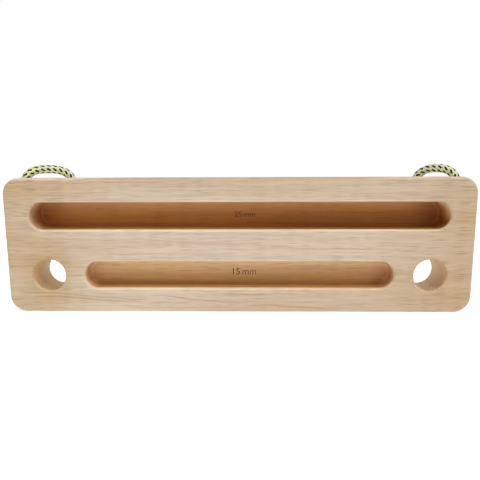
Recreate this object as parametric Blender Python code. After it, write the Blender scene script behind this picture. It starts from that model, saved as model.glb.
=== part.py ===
# Portable wooden hangboard on a suspension cord: metres, +Z up, front face towards -Y.
# It stands on its bottom face, with the origin at the centre of that face.
import math

import bmesh
import bpy

# Board
BOARD_WIDTH = 0.440
BOARD_HEIGHT = 0.128
BOARD_THICKNESS = 0.036
BOARD_CORNER_RADIUS = 0.016
BOARD_EDGE_ROUND = 0.003

# Finger pockets, routed from the front face
POCKET_HEIGHT = 0.025
POCKET_LIP_ROUND = 0.0025
POCKET_FLOOR_ROUND = 0.003
DEEP_POCKET_DEPTH = 0.025
DEEP_POCKET_END_WALL = 0.024
DEEP_POCKET_BELOW_TOP = 0.0356
SHALLOW_POCKET_DEPTH = 0.015
SHALLOW_POCKET_END_WALL = 0.074
SHALLOW_POCKET_ABOVE_BOTTOM = 0.0363

# Grip holes, right through the board
HOLE_DIAMETER = 0.030
HOLE_LIP_ROUND = 0.0025
HOLE_FROM_END = 0.040
HOLE_ABOVE_BOTTOM = 0.036

# Suspension cord
CORD_DIAMETER = 0.008
CORD_BEVEL_RESOLUTION = 3
CORD_POINT_SPACING = 0.0062
FREE_CORD_STARTS_BELOW_TOP = 0.016
TOUCH_GAP = 0.0003

# Cord bores, down from the top face at mid-thickness, into the knot recesses
BORE_CLEARANCE = 0.002
BORE_FROM_END = 0.013
BORE_MOUTH_ROUND = 0.0055

# Stopper knots and the recesses that hold them, routed from the back face
KNOT_WIDTH = 0.0172
KNOT_BREADTH = 0.021
KNOT_LENGTH = 0.021
KNOT_TAIL_LENGTH = 0.007
KNOT_CLEARANCE = 0.0004
RECESS_INWARD_OF_BORE = 0.001
RECESS_ROOF_BELOW_TOP = 0.0505
RECESS_HEIGHT = 0.031
RECESS_CORNER_RADIUS = 0.003
RECESS_LIP_ROUND = 0.001
RECESS_FLOOR_ROUND = 0.002

# Tied hank of spare cord, on the standing surface behind the board
HANK_CENTRE_X = -0.012
HANK_BEHIND_BOARD = 0.0035
HANK_FOLD_RADIUS = 0.024
HANK_HALF_RUN = 0.074
HANK_LAYERS = 4
HANK_LAYER_GAP = 0.0002
HANK_WAIST_GAP = 0.0004
TIE_LENGTH = 0.018
TIE_THICKNESS = 0.0016
TIE_CORNER_RADIUS = 0.0004

# The free cord's own points, from each exit over the top edge, down the back face and to the hank
LEFT_ROUTE = [
    (-0.2070, 0.0000, 0.1120),
    (-0.2070, 0.0000, 0.1160),
    (-0.2070, 0.0000, 0.1200),
    (-0.2062, 0.0004, 0.1254),
    (-0.2039, 0.0017, 0.1302),
    (-0.2003, 0.0038, 0.1338),
    (-0.1955, 0.0064, 0.1357),
    (-0.1909, 0.0090, 0.1362),
    (-0.1865, 0.0114, 0.1363),
    (-0.1821, 0.0139, 0.1360),
    (-0.1779, 0.0164, 0.1351),
    (-0.1736, 0.0191, 0.1329),
    (-0.1703, 0.0213, 0.1295),
    (-0.1681, 0.0228, 0.1250),
    (-0.1670, 0.0233, 0.1198),
    (-0.1662, 0.0232, 0.1140),
    (-0.1654, 0.0228, 0.1060),
    (-0.1642, 0.0227, 0.0930),
    (-0.1627, 0.0227, 0.0700),
    (-0.1614, 0.0228, 0.0470),
    (-0.1598, 0.0230, 0.0310),
    (-0.1567, 0.0232, 0.0180),
    (-0.1508, 0.0236, 0.0090),
    (-0.1420, 0.0241, 0.0052),
    (-0.1300, 0.0246, 0.0044),
    (-0.1170, 0.0251, 0.0044),
    (-0.1057, 0.0254, 0.0045),
]
RIGHT_ROUTE = [
    (0.2070, 0.0000, 0.1120),
    (0.2070, 0.0000, 0.1160),
    (0.2070, 0.0000, 0.1200),
    (0.2063, 0.0005, 0.1254),
    (0.2043, 0.0020, 0.1301),
    (0.2010, 0.0044, 0.1336),
    (0.1967, 0.0075, 0.1355),
    (0.1916, 0.0112, 0.1360),
    (0.1864, 0.0150, 0.1355),
    (0.1822, 0.0183, 0.1335),
    (0.1789, 0.0210, 0.1300),
    (0.1768, 0.0228, 0.1254),
    (0.1758, 0.0235, 0.1202),
    (0.1752, 0.0233, 0.1140),
    (0.1746, 0.0229, 0.1060),
    (0.1736, 0.0227, 0.0930),
    (0.1715, 0.0227, 0.0720),
    (0.1687, 0.0227, 0.0520),
    (0.1655, 0.0228, 0.0370),
    (0.1618, 0.0230, 0.0248),
    (0.1561, 0.0232, 0.0148),
    (0.1487, 0.0235, 0.0083),
    (0.1400, 0.0238, 0.0056),
    (0.1308, 0.0241, 0.0064),
    (0.1212, 0.0245, 0.0103),
    (0.1112, 0.0249, 0.0167),
    (0.1012, 0.0252, 0.0232),
    (0.0918, 0.0254, 0.0280),
    (0.0820, 0.0255, 0.0304),
]

# Smoothness of the round shapes, and how far a cutter stands past a face
CORNER_STEPS = 10
HOLE_STEPS = 9
ROUND_STEPS = 4
FOLD_STEPS = 16
CUT_MARGIN = 0.004

SIDES = {"left": -1, "right": 1}
FRONT_Y = -BOARD_THICKNESS / 2
BACK_Y = BOARD_THICKNESS / 2
CORD_RADIUS = CORD_DIAMETER / 2
RECESS_ROOF_Z = BOARD_HEIGHT - RECESS_ROOF_BELOW_TOP
HANK_OUTER_RADIUS = HANK_FOLD_RADIUS + CORD_RADIUS
HANK_CENTRE_Y = BACK_Y + HANK_BEHIND_BOARD + HANK_OUTER_RADIUS
HANK_BOTTOM_Z = TIE_THICKNESS + TOUCH_GAP
HANK_HEIGHT = HANK_LAYERS * (CORD_DIAMETER + HANK_LAYER_GAP)
HANK_WAIST_HALF = CORD_DIAMETER + HANK_WAIST_GAP / 2


def clear_scene():
    for obj in list(bpy.data.objects):
        bpy.data.objects.remove(obj, do_unlink=True)


def make_material(name, color, roughness):
    material = bpy.data.materials.new(name)
    material.use_nodes = True
    shader = material.node_tree.nodes["Principled BSDF"]
    shader.inputs["Base Color"].default_value = (*color, 1.0)
    shader.inputs["Roughness"].default_value = roughness
    shader.inputs["Metallic"].default_value = 0.0
    return material


def place(name, data, root, location=(0.0, 0.0, 0.0), rotation=(0.0, 0.0, 0.0)):
    """Links a new object that carries the data, under the root empty."""
    obj = bpy.data.objects.new(name, data)
    bpy.context.scene.collection.objects.link(obj)
    obj.parent = root
    obj.location = location
    obj.rotation_euler = rotation
    return obj


def rounded_outline(width, height, radius, grow, steps):
    """Points (across, up) round a rectangle with round corners, widened by grow on every side."""
    radius += grow
    half_width = width / 2 + grow - radius
    half_height = height / 2 + grow - radius
    corners = [(1, 1, 0.0), (-1, 1, 0.5), (-1, -1, 1.0), (1, -1, 1.5)]
    points = []
    for side, level, start in corners:
        for step in range(steps + 1):
            angle = math.pi * (start + 0.5 * step / steps)
            point = (
                side * half_width + radius * math.cos(angle),
                level * half_height + radius * math.sin(angle),
            )
            if not points or math.dist(point, points[-1]) > 1e-7:
                points.append(point)
    if math.dist(points[0], points[-1]) < 1e-7:
        points.pop()
    return points


def lip_profile(radius, face_depth=0.0, inwards=1):
    """(depth, grow) up a rounded lip, from the wall to its face and on past it."""
    arc = []
    for step in range(ROUND_STEPS + 1):
        angle = 0.5 * math.pi * step / ROUND_STEPS
        arc.append((
            face_depth + inwards * radius * (1 - math.sin(angle)),
            radius * (1 - math.cos(angle)),
        ))
    return arc + [(face_depth - inwards * CUT_MARGIN, radius)]


def floor_profile(depth, radius):
    """(depth, grow) from the flat floor of a blind cut round to its wall."""
    arc = []
    for step in range(ROUND_STEPS + 1):
        angle = 0.5 * math.pi * (1 - step / ROUND_STEPS)
        arc.append((
            depth - radius * (1 - math.sin(angle)),
            -radius * (1 - math.cos(angle)),
        ))
    return arc


def lofted_mesh(name, rings):
    """A closed mesh through rings of equally many points, with both ends filled."""
    mesh = bpy.data.meshes.new(name)
    bm = bmesh.new()
    loops = [[bm.verts.new(point) for point in ring] for ring in rings]
    for lower, upper in zip(loops, loops[1:]):
        for index in range(len(lower)):
            after = (index + 1) % len(lower)
            bm.faces.new((lower[index], lower[after], upper[after], upper[index]))
    bm.faces.new(loops[0])
    bm.faces.new(loops[-1])
    bmesh.ops.recalc_face_normals(bm, faces=bm.faces)
    bm.to_mesh(mesh)
    bm.free()
    return mesh


def cut(board, name, outline, steps, profile, location, rotation=(0.0, 0.0, 0.0)):
    """Cuts the board with an outline (width, height, corner radius) swept along the profile.

    The outline stands in the cutter's X-Z plane, and its depth runs along the cutter's +Y.
    """
    rings = [
        [(across, depth, up) for across, up in rounded_outline(*outline, grow, steps)]
        for depth, grow in profile
    ]
    cutter = place(name, lofted_mesh(name, rings), board.parent, location, rotation)
    cutter.hide_render = True
    cutter.display_type = "WIRE"
    modifier = board.modifiers.new(name, "BOOLEAN")
    modifier.operation = "DIFFERENCE"
    modifier.solver = "EXACT"
    modifier.object = cutter


def shade_round(obj, angle_deg=35):
    obj.data.shade_smooth()
    obj.data.set_sharp_from_angle(angle=math.radians(angle_deg))


def make_board(root):
    half = BOARD_THICKNESS / 2
    outline = rounded_outline(BOARD_WIDTH, BOARD_HEIGHT, BOARD_CORNER_RADIUS, 0.0, CORNER_STEPS)
    rings = [[(across, y, up) for across, up in outline] for y in (-half, half)]
    board = place("board", lofted_mesh("board", rings), root, (0.0, 0.0, BOARD_HEIGHT / 2))
    edges = board.modifiers.new("edge_round", "BEVEL")
    edges.width = BOARD_EDGE_ROUND
    edges.segments = ROUND_STEPS
    edges.limit_method = "ANGLE"
    edges.angle_limit = math.radians(45)
    cut_pockets(board)
    for side, sign in SIDES.items():
        cut_hole(board, side, sign)
        cut_bore_and_recess(board, side, sign)
    shade_round(board)
    board.data.materials.append(make_material("rubberwood", (0.63, 0.48, 0.32), 0.55))
    return board


def cut_pockets(board):
    pockets = [
        ("deep_pocket_cutter", DEEP_POCKET_END_WALL, DEEP_POCKET_DEPTH,
         BOARD_HEIGHT - DEEP_POCKET_BELOW_TOP),
        ("shallow_pocket_cutter", SHALLOW_POCKET_END_WALL, SHALLOW_POCKET_DEPTH,
         SHALLOW_POCKET_ABOVE_BOTTOM),
    ]
    for name, end_wall, depth, centre_z in pockets:
        length = BOARD_WIDTH - 2 * end_wall
        profile = floor_profile(depth, POCKET_FLOOR_ROUND) + lip_profile(POCKET_LIP_ROUND)
        outline = (length, POCKET_HEIGHT, POCKET_HEIGHT / 2)
        cut(board, name, outline, HOLE_STEPS, profile, (0.0, FRONT_Y, centre_z))


def cut_hole(board, side, sign):
    back_lip = lip_profile(HOLE_LIP_ROUND, BOARD_THICKNESS, -1)
    profile = back_lip[::-1] + lip_profile(HOLE_LIP_ROUND)
    outline = (HOLE_DIAMETER, HOLE_DIAMETER, HOLE_DIAMETER / 2)
    location = (sign * (BOARD_WIDTH / 2 - HOLE_FROM_END), FRONT_Y, HOLE_ABOVE_BOTTOM)
    cut(board, f"hole_cutter_{side}", outline, HOLE_STEPS, profile, location)


def bore_x(sign):
    return sign * (BOARD_WIDTH / 2 - BORE_FROM_END)


def recess_x(sign):
    return bore_x(sign) - sign * RECESS_INWARD_OF_BORE


def cut_bore_and_recess(board, side, sign):
    bore = CORD_DIAMETER + BORE_CLEARANCE
    into_recess = RECESS_ROOF_BELOW_TOP + RECESS_HEIGHT / 2
    profile = [(into_recess, 0.0)] + lip_profile(BORE_MOUTH_ROUND)
    downwards = (-math.pi / 2, 0.0, 0.0)
    location = (bore_x(sign), 0.0, BOARD_HEIGHT)
    outline = (bore, bore, bore / 2)
    cut(board, f"bore_cutter_{side}", outline, HOLE_STEPS, profile, location, downwards)

    depth = BACK_Y + KNOT_BREADTH / 2 + KNOT_CLEARANCE
    profile = floor_profile(depth, RECESS_FLOOR_ROUND) + lip_profile(RECESS_LIP_ROUND)
    outline = (KNOT_WIDTH + 2 * KNOT_CLEARANCE, RECESS_HEIGHT, RECESS_CORNER_RADIUS)
    location = (recess_x(sign), BACK_Y, RECESS_ROOF_Z - RECESS_HEIGHT / 2)
    forwards = (0.0, 0.0, math.pi)
    cut(board, f"recess_cutter_{side}", outline, ROUND_STEPS, profile, location, forwards)


def make_stopper_knot(root, side, sign, material):
    """The knot hangs under its recess's roof, and its sealed tail points down."""
    shape = [
        (0.00, 0.69), (0.07, 0.91), (0.22, 1.00), (0.40, 0.95), (0.50, 0.93),
        (0.62, 0.96), (0.78, 0.95), (0.90, 0.80), (0.97, 0.60),
    ]
    levels = [
        (share * KNOT_LENGTH, part * KNOT_WIDTH / 2, part * KNOT_BREADTH / 2)
        for share, part in shape
    ]
    tail_end = KNOT_LENGTH + KNOT_TAIL_LENGTH
    levels += [(KNOT_LENGTH, CORD_RADIUS, CORD_RADIUS), (tail_end, CORD_RADIUS, CORD_RADIUS)]
    sides = 20
    rings = []
    for drop, half_x, half_y in levels:
        turns = [2 * math.pi * index / sides for index in range(sides)]
        rings.append([(half_x * math.cos(a), half_y * math.sin(a), -drop) for a in turns])
    name = f"stopper_knot_{side}"
    location = (recess_x(sign), 0.0, RECESS_ROOF_Z - TOUCH_GAP)
    knot = place(name, lofted_mesh(name, rings), root, location)
    shade_round(knot)
    knot.data.materials.append(material)


def make_cord_in_bore(root, side, sign, material):
    """The straight stretch inside the bore, from the knot up to where the free cord starts."""
    top = BOARD_HEIGHT - FREE_CORD_STARTS_BELOW_TOP - TOUCH_GAP
    name = f"cord_in_bore_{side}"
    mesh = bpy.data.meshes.new(name)
    bm = bmesh.new()
    bmesh.ops.create_cone(
        bm, cap_ends=True, segments=16, radius1=CORD_RADIUS, radius2=CORD_RADIUS,
        depth=top - RECESS_ROOF_Z,
    )
    bm.to_mesh(mesh)
    bm.free()
    location = (bore_x(sign), 0.0, (top + RECESS_ROOF_Z) / 2)
    stretch = place(name, mesh, root, location)
    shade_round(stretch)
    stretch.data.materials.append(material)


def smooth_route(points, spacing):
    """Evenly spaced points on a Catmull-Rom curve through the route's own points."""
    ends = [
        [2 * a - b for a, b in zip(points[0], points[1])],
        [2 * a - b for a, b in zip(points[-1], points[-2])],
    ]
    padded = [ends[0], *points, ends[1]]
    dense = []
    fine_steps = 12
    for p0, p1, p2, p3 in zip(padded, padded[1:], padded[2:], padded[3:]):
        for step in range(fine_steps):
            t = step / fine_steps
            dense.append([
                b + 0.5 * t * (c - a + t * (2 * a - 5 * b + 4 * c - d + t * (3 * (b - c) + d - a)))
                for a, b, c, d in zip(p0, p1, p2, p3)
            ])
    dense.append(list(points[-1]))
    along = [0.0]
    for a, b in zip(dense, dense[1:]):
        along.append(along[-1] + math.dist(a, b))
    count = max(2, round(along[-1] / spacing))
    found, index = [], 0
    for step in range(count + 1):
        wanted = along[-1] * step / count
        while index < len(along) - 2 and along[index + 1] < wanted:
            index += 1
        share = (wanted - along[index]) / (along[index + 1] - along[index])
        found.append([a + share * (b - a) for a, b in zip(dense[index], dense[index + 1])])
    return found


def make_cord_tube(root, name, route, material):
    curve = bpy.data.curves.new(name, "CURVE")
    curve.dimensions = "3D"
    curve.bevel_depth = CORD_RADIUS
    curve.bevel_resolution = CORD_BEVEL_RESOLUTION
    curve.use_fill_caps = True
    points = smooth_route(route, CORD_POINT_SPACING)
    spline = curve.splines.new("POLY")
    spline.points.add(len(points) - 1)
    for point, place_of in zip(spline.points, points):
        point.co = (*place_of, 1.0)
    place(name, curve, root).data.materials.append(material)


def hank_half_breadth(x):
    """Half the hank's outer breadth at x from its centre, pinched where the tie holds it."""
    share = min(abs(x) / HANK_HALF_RUN, 1.0)
    smooth = share * share * (3 - 2 * share)
    return HANK_WAIST_HALF + (HANK_OUTER_RADIUS - HANK_WAIST_HALF) * smooth


def make_hank(root, material):
    """The outer shape of the wound hank: round folds at both ends, narrow at the tie."""
    run = [HANK_HALF_RUN * (1 - 2 * step / FOLD_STEPS) for step in range(1, FOLD_STEPS)]
    outline = []
    for sign in (1, -1):
        for step in range(FOLD_STEPS + 1):
            angle = math.pi * (step / FOLD_STEPS - 0.5)
            outline.append((
                sign * (HANK_HALF_RUN + HANK_OUTER_RADIUS * math.cos(angle)),
                sign * HANK_OUTER_RADIUS * math.sin(angle),
            ))
        outline += [(sign * x, sign * hank_half_breadth(x)) for x in run]
    rings = [[(x, y, z) for x, y in outline] for z in (0.0, HANK_HEIGHT)]
    location = (HANK_CENTRE_X, HANK_CENTRE_Y, HANK_BOTTOM_Z)
    hank = place("cord_hank", lofted_mesh("cord_hank", rings), root, location)
    shade_round(hank)
    hank.data.materials.append(material)


def make_hank_tie(root):
    """A strap closed round the hank's waist."""
    width = 2 * (hank_half_breadth(TIE_LENGTH / 2) + TOUCH_GAP)
    height = HANK_HEIGHT + 2 * TOUCH_GAP
    half = TIE_LENGTH / 2
    loops = []
    for grow, x in ((TIE_THICKNESS, -half), (TIE_THICKNESS, half), (0.0, half), (0.0, -half)):
        outline = rounded_outline(width, height, TIE_CORNER_RADIUS, grow, ROUND_STEPS)
        loops.append([(x, y, z) for y, z in outline])
    mesh = bpy.data.meshes.new("hank_tie")
    bm = bmesh.new()
    loops = [[bm.verts.new(point) for point in loop] for loop in loops]
    for near, far in zip(loops, loops[1:] + loops[:1]):
        for index in range(len(near)):
            after = (index + 1) % len(near)
            bm.faces.new((near[index], near[after], far[after], far[index]))
    bmesh.ops.recalc_face_normals(bm, faces=bm.faces)
    bm.to_mesh(mesh)
    bm.free()
    location = (HANK_CENTRE_X, HANK_CENTRE_Y, TIE_THICKNESS + height / 2)
    tie = place("hank_tie", mesh, root, location)
    shade_round(tie)
    tie.data.materials.append(make_material("black_strap", (0.02, 0.02, 0.022), 0.8))


def main():
    clear_scene()
    root = bpy.data.objects.new("hangboard_origin", None)
    bpy.context.scene.collection.objects.link(root)
    cord = make_material("braided_cord", (0.58, 0.66, 0.12), 0.75)
    make_board(root)
    for side, sign in SIDES.items():
        make_cord_in_bore(root, side, sign, cord)
        make_stopper_knot(root, side, sign, cord)
    make_cord_tube(root, "cord_left", LEFT_ROUTE, cord)
    make_cord_tube(root, "cord_right", RIGHT_ROUTE, cord)
    make_hank(root, cord)
    make_hank_tie(root)


main()
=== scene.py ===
# Portable hangboard: a routed wooden board on its braided hanging cord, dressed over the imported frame.
import math
import bmesh
import bpy
import numpy as np
from mathutils import Matrix, Vector


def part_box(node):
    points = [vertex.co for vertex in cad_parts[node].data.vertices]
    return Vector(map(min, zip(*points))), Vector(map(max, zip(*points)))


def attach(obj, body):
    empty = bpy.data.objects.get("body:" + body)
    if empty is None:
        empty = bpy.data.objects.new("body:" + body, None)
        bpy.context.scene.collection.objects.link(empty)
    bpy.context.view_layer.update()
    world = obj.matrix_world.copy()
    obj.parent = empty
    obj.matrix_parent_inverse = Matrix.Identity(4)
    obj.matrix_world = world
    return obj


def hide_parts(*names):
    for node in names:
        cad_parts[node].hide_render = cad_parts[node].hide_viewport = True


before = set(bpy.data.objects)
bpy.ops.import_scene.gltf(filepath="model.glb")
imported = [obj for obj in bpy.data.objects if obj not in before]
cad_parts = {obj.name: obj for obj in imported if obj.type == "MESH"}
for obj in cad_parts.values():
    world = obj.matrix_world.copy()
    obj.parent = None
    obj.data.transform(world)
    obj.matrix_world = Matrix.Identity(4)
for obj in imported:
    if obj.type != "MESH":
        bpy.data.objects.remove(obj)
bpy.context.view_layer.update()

# Camera, at the photograph's viewing angle
cameraView = {
    "place": (0.00927, -0.42294, 0.13055),
    "turnLeft": 1.075,  # degrees
    "lookDown": 8.505,
    "roll": -0.19,
    "lens": 32.88,  # mm
    "sensorWidth": 36,
    "nearest": 0.01,  # metres
}


def makeCamera():
    bpy.ops.object.camera_add()
    camera = bpy.context.object
    camera.name = "photoCamera"
    camera.data.sensor_width = cameraView["sensorWidth"]
    camera.data.lens = cameraView["lens"]
    camera.data.clip_start = cameraView["nearest"]
    turn = Matrix.Rotation(math.radians(cameraView["turnLeft"]), 4, "Z")
    tilt = Matrix.Rotation(math.radians(90 - cameraView["lookDown"]), 4, "X")
    roll = Matrix.Rotation(math.radians(cameraView["roll"]), 4, "Z")
    camera.matrix_world = Matrix.Translation(cameraView["place"]) @ turn @ tilt @ roll
    bpy.context.scene.camera = camera


# Lamp, floor and surroundings
studio = {
    "lamp": {"place": (6.4, -5.6, 12.0), "size": 8.4, "power": 815},
    "aim": (0.0, 0.0, 0.06),
    "skyFrom": (0.1, 0.8),  # how high it looks, from the horizon's light to the light overhead
    "skyLow": 0.19,
    "skyHigh": 0.72,
    "floorColor": (0.8, 0.8, 0.8),
    "floorRoughness": 0.9,
    "floorGlow": 0.52,  # light from below, as a lit table gives it
    "floorLift": 0.55,  # keeps the floor white to the camera, and its shadow pale
    "floorSize": 8.0,
}


def makeLamp():
    lamp = studio["lamp"]
    toAim = Vector(studio["aim"]) - Vector(lamp["place"])
    turn = toAim.to_track_quat("-Z", "Y").to_euler()
    bpy.ops.object.light_add(type="AREA", location=lamp["place"], rotation=turn)
    softbox = bpy.context.object
    softbox.name = "topSoftbox"
    softbox.data.size = lamp["size"]
    softbox.data.energy = lamp["power"]


def newMaterial(name):
    material = bpy.data.materials.new(name)
    material.use_nodes = True
    return material, material.node_tree, material.node_tree.nodes["Principled BSDF"]


def addNode(tree, kind, **settings):
    node = tree.nodes.new(kind)
    for name, value in settings.items():
        setattr(node, name, value)
    return node


def feed(tree, socket, value):  # links a socket, or sets a number, place or colour on it
    if isinstance(value, bpy.types.NodeSocket):
        tree.links.new(value, socket)
    elif socket.type == "RGBA":
        socket.default_value = (*value, 1)
    else:
        socket.default_value = value


def feedAll(tree, node, values):
    for label, value in values.items():
        feed(tree, node.inputs[label], value)


def calc(tree, operation, *values, clamp=False):
    node = addNode(tree, "ShaderNodeMath", operation=operation, use_clamp=clamp)
    for socket, value in zip(node.inputs, values):
        feed(tree, socket, value)
    return node.outputs[0]


def blendColors(tree, share, first, second, kind="MIX"):
    node = addNode(tree, "ShaderNodeMix", data_type="RGBA", blend_type=kind)
    for name, value in (("Factor_Float", share), ("A_Color", first), ("B_Color", second)):
        feed(tree, next(s for s in node.inputs if s.identifier == name), value)
    return next(s for s in node.outputs if s.identifier == "Result_Color")


def remap(tree, value, low, high, newLow=0.0, newHigh=1.0, smooth=True):
    node = addNode(tree, "ShaderNodeMapRange")
    node.interpolation_type = "SMOOTHSTEP" if smooth else "LINEAR"
    for socket, given in zip(node.inputs, (value, low, high, newLow, newHigh)):
        feed(tree, socket, given)
    return node.outputs[0]


def minus(tree, value, taken):
    return calc(tree, "SUBTRACT", value, taken)


def times(tree, *values):
    product = values[0]
    for value in values[1:]:
        product = calc(tree, "MULTIPLY", product, value)
    return product


def scaledColor(tree, color, factor):
    gray = addNode(tree, "ShaderNodeCombineXYZ")
    for socket in gray.inputs:
        feed(tree, socket, factor)
    return blendColors(tree, 1.0, color, gray.outputs[0], "MULTIPLY")


def splitVector(tree, vector):
    node = addNode(tree, "ShaderNodeSeparateXYZ")
    feed(tree, node.inputs[0], vector)
    return node.outputs


def placeOnObject(tree):
    return addNode(tree, "ShaderNodeTexCoord").outputs["Object"]


def addBump(tree, shader, height, distance, strength=1.0):
    node = addNode(tree, "ShaderNodeBump")
    feedAll(tree, node, {"Height": height, "Distance": distance, "Strength": strength})
    feed(tree, shader.inputs["Normal"], node.outputs[0])


def seenDirectly(tree):  # camera, mirror and glass rays, which see plain white surroundings
    rays = addNode(tree, "ShaderNodeLightPath").outputs
    direct = calc(tree, "ADD", rays["Is Camera Ray"], rays["Is Glossy Ray"])
    return calc(tree, "ADD", direct, rays["Is Transmission Ray"], clamp=True)


def makeSurroundings():
    world = bpy.data.worlds.new("whiteStudio")
    world.use_nodes = True
    tree = world.node_tree
    tree.nodes.clear()
    height = splitVector(tree, addNode(tree, "ShaderNodeTexCoord").outputs["Generated"])[2]
    sky = remap(tree, height, *studio["skyFrom"], studio["skyLow"], studio["skyHigh"])
    soft = addNode(tree, "ShaderNodeBackground")
    feedAll(tree, soft, {"Color": (1, 1, 1), "Strength": sky})
    white = addNode(tree, "ShaderNodeBackground")
    feedAll(tree, white, {"Color": (1, 1, 1)})
    mix = addNode(tree, "ShaderNodeMixShader")
    for socket, value in zip(mix.inputs, (seenDirectly(tree), soft.outputs[0], white.outputs[0])):
        feed(tree, socket, value)
    feed(tree, addNode(tree, "ShaderNodeOutputWorld").inputs[0], mix.outputs[0])
    bpy.context.scene.world = world


def makeFloor():
    bpy.ops.mesh.primitive_plane_add(size=studio["floorSize"])
    floor = bpy.context.object
    floor.name = "studioFloor"
    paper, tree, shader = newMaterial("whitePaper")
    glow = remap(tree, seenDirectly(tree), 0.0, 1.0, studio["floorGlow"], studio["floorLift"], False)
    feedAll(tree, shader, {
        "Base Color": studio["floorColor"], "Roughness": studio["floorRoughness"],
        "Emission Color": (1, 1, 1), "Emission Strength": glow,
    })
    floor.data.materials.append(paper)


bpy.context.scene.view_settings.view_transform = "Standard"
makeCamera()
makeLamp()
makeSurroundings()
makeFloor()
print("camera, lamp and floor made")

# Hanging cord: its two free stretches, listed, and the hank between them
cordLine = {
    "radius": 0.004,
    "left": [
        (-0.207, 0.0, 0.112), (-0.207, 0.0, 0.116), (-0.207, 0.0, 0.12),
        (-0.2062, 0.0004, 0.1254), (-0.2039, 0.0017, 0.1302), (-0.2003, 0.0038, 0.1338),
        (-0.1955, 0.0064, 0.1357), (-0.1909, 0.009, 0.1362), (-0.1865, 0.0114, 0.1363),
        (-0.1821, 0.0139, 0.136), (-0.1779, 0.0164, 0.1351), (-0.1736, 0.0191, 0.1329),
        (-0.1703, 0.0213, 0.1295), (-0.1681, 0.0228, 0.125), (-0.167, 0.0233, 0.1198),
        (-0.1662, 0.0232, 0.114), (-0.1654, 0.0228, 0.106), (-0.1642, 0.0227, 0.093),
        (-0.1627, 0.0227, 0.07), (-0.1614, 0.0228, 0.047), (-0.1598, 0.023, 0.031),
        (-0.1567, 0.0232, 0.018), (-0.1508, 0.0236, 0.009), (-0.142, 0.0241, 0.0052),
        (-0.13, 0.0246, 0.0044), (-0.117, 0.0251, 0.0044), (-0.1057, 0.0254, 0.0045),
    ],
    "right": [
        (0.207, 0.0, 0.112), (0.207, 0.0, 0.116), (0.207, 0.0, 0.12),
        (0.2063, 0.0005, 0.1254), (0.2043, 0.002, 0.1301), (0.201, 0.0044, 0.1336),
        (0.1967, 0.0075, 0.1355), (0.1916, 0.0112, 0.136), (0.1864, 0.015, 0.1355),
        (0.1822, 0.0183, 0.1335), (0.1789, 0.021, 0.13), (0.1768, 0.0228, 0.1254),
        (0.1758, 0.0235, 0.1202), (0.1752, 0.0233, 0.114), (0.1746, 0.0229, 0.106),
        (0.1736, 0.0227, 0.093), (0.1715, 0.0227, 0.072), (0.1687, 0.0227, 0.052),
        (0.1655, 0.0228, 0.037), (0.1618, 0.023, 0.0248), (0.1561, 0.0232, 0.0148),
        (0.1487, 0.0235, 0.0083), (0.14, 0.0238, 0.0056), (0.1308, 0.0241, 0.0064),
        (0.1212, 0.0245, 0.0103), (0.1112, 0.0249, 0.0167), (0.1012, 0.0252, 0.0232),
        (0.0918, 0.0254, 0.028), (0.082, 0.0255, 0.0304),
    ],
    "exit": (-0.207, 0.0, 0.128),  # the left bore's mouth
    "fineSteps": 24,  # of the curve, between two of the points
}
hankLay = {
    "centre": (-0.012, 0.0495),
    "halfRun": 0.074,
    "foldRadius": 0.024,
    "waist": 0.0042,  # from the middle to a run's line, where the strap holds it
    "firstLayer": 0.006,
    "layerPitch": 0.0082,
    "turns": 3,
    "sag": 0.0017,  # how far the folds settle below the strapped middle
    "sagFrom": 0.012,  # from the middle, and over what distance it grows
    "sagOver": 0.045,
    "sagLess": 0.22,  # in each higher layer
    "runSteps": 16,
    "foldSteps": 10,
    "foldReach": (0.0, -0.0026, -0.0008, -0.0038),  # how much shorter each turn's folds are
}


def smoothShare(value):
    value = min(max(value, 0.0), 1.0)
    return value * value * (3 - 2 * value)


def hankPoint(x, side, layer, reach):  # side is -1 on the run next to the board
    fromMiddle = abs(x - hankLay["centre"][0])
    wide = smoothShare(fromMiddle / (hankLay["halfRun"] + reach))
    breadth = hankLay["waist"] + (hankLay["foldRadius"] - hankLay["waist"]) * wide
    return (x, hankLay["centre"][1] + side * breadth, layerHeight(fromMiddle, layer))


def layerHeight(fromMiddle, layer):
    settled = smoothShare((fromMiddle - hankLay["sagFrom"]) / hankLay["sagOver"])
    settled = settled * (1 - hankLay["sagLess"] * layer)
    return hankLay["firstLayer"] + layer * hankLay["layerPitch"] - hankLay["sag"] * settled


def hankLine():
    centreX, centreY = hankLay["centre"]
    radius, runSteps, foldSteps = (hankLay[name] for name in ("foldRadius", "runSteps", "foldSteps"))
    points = []
    for turn, reach in enumerate(hankLay["foldReach"]):
        half = hankLay["halfRun"] + reach
        for side in (-1, 1):  # a run next to the board and the fold after it, then the outer ones
            for step in range(runSteps + 1):
                x = centreX + side * half * (1 - 2 * step / runSteps)
                points.append(hankPoint(x, side, turn, reach))
            if turn == hankLay["turns"]:
                return points
            for step in range(1, foldSteps):
                angle = math.pi * (step / foldSteps + 0.5 * side)
                x = centreX - side * half + radius * math.cos(angle)
                level = turn + (smoothShare(step / foldSteps) if side > 0 else 0)
                height = layerHeight(abs(x - centreX), level)
                points.append((x, centreY + radius * math.sin(angle), height))


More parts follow.
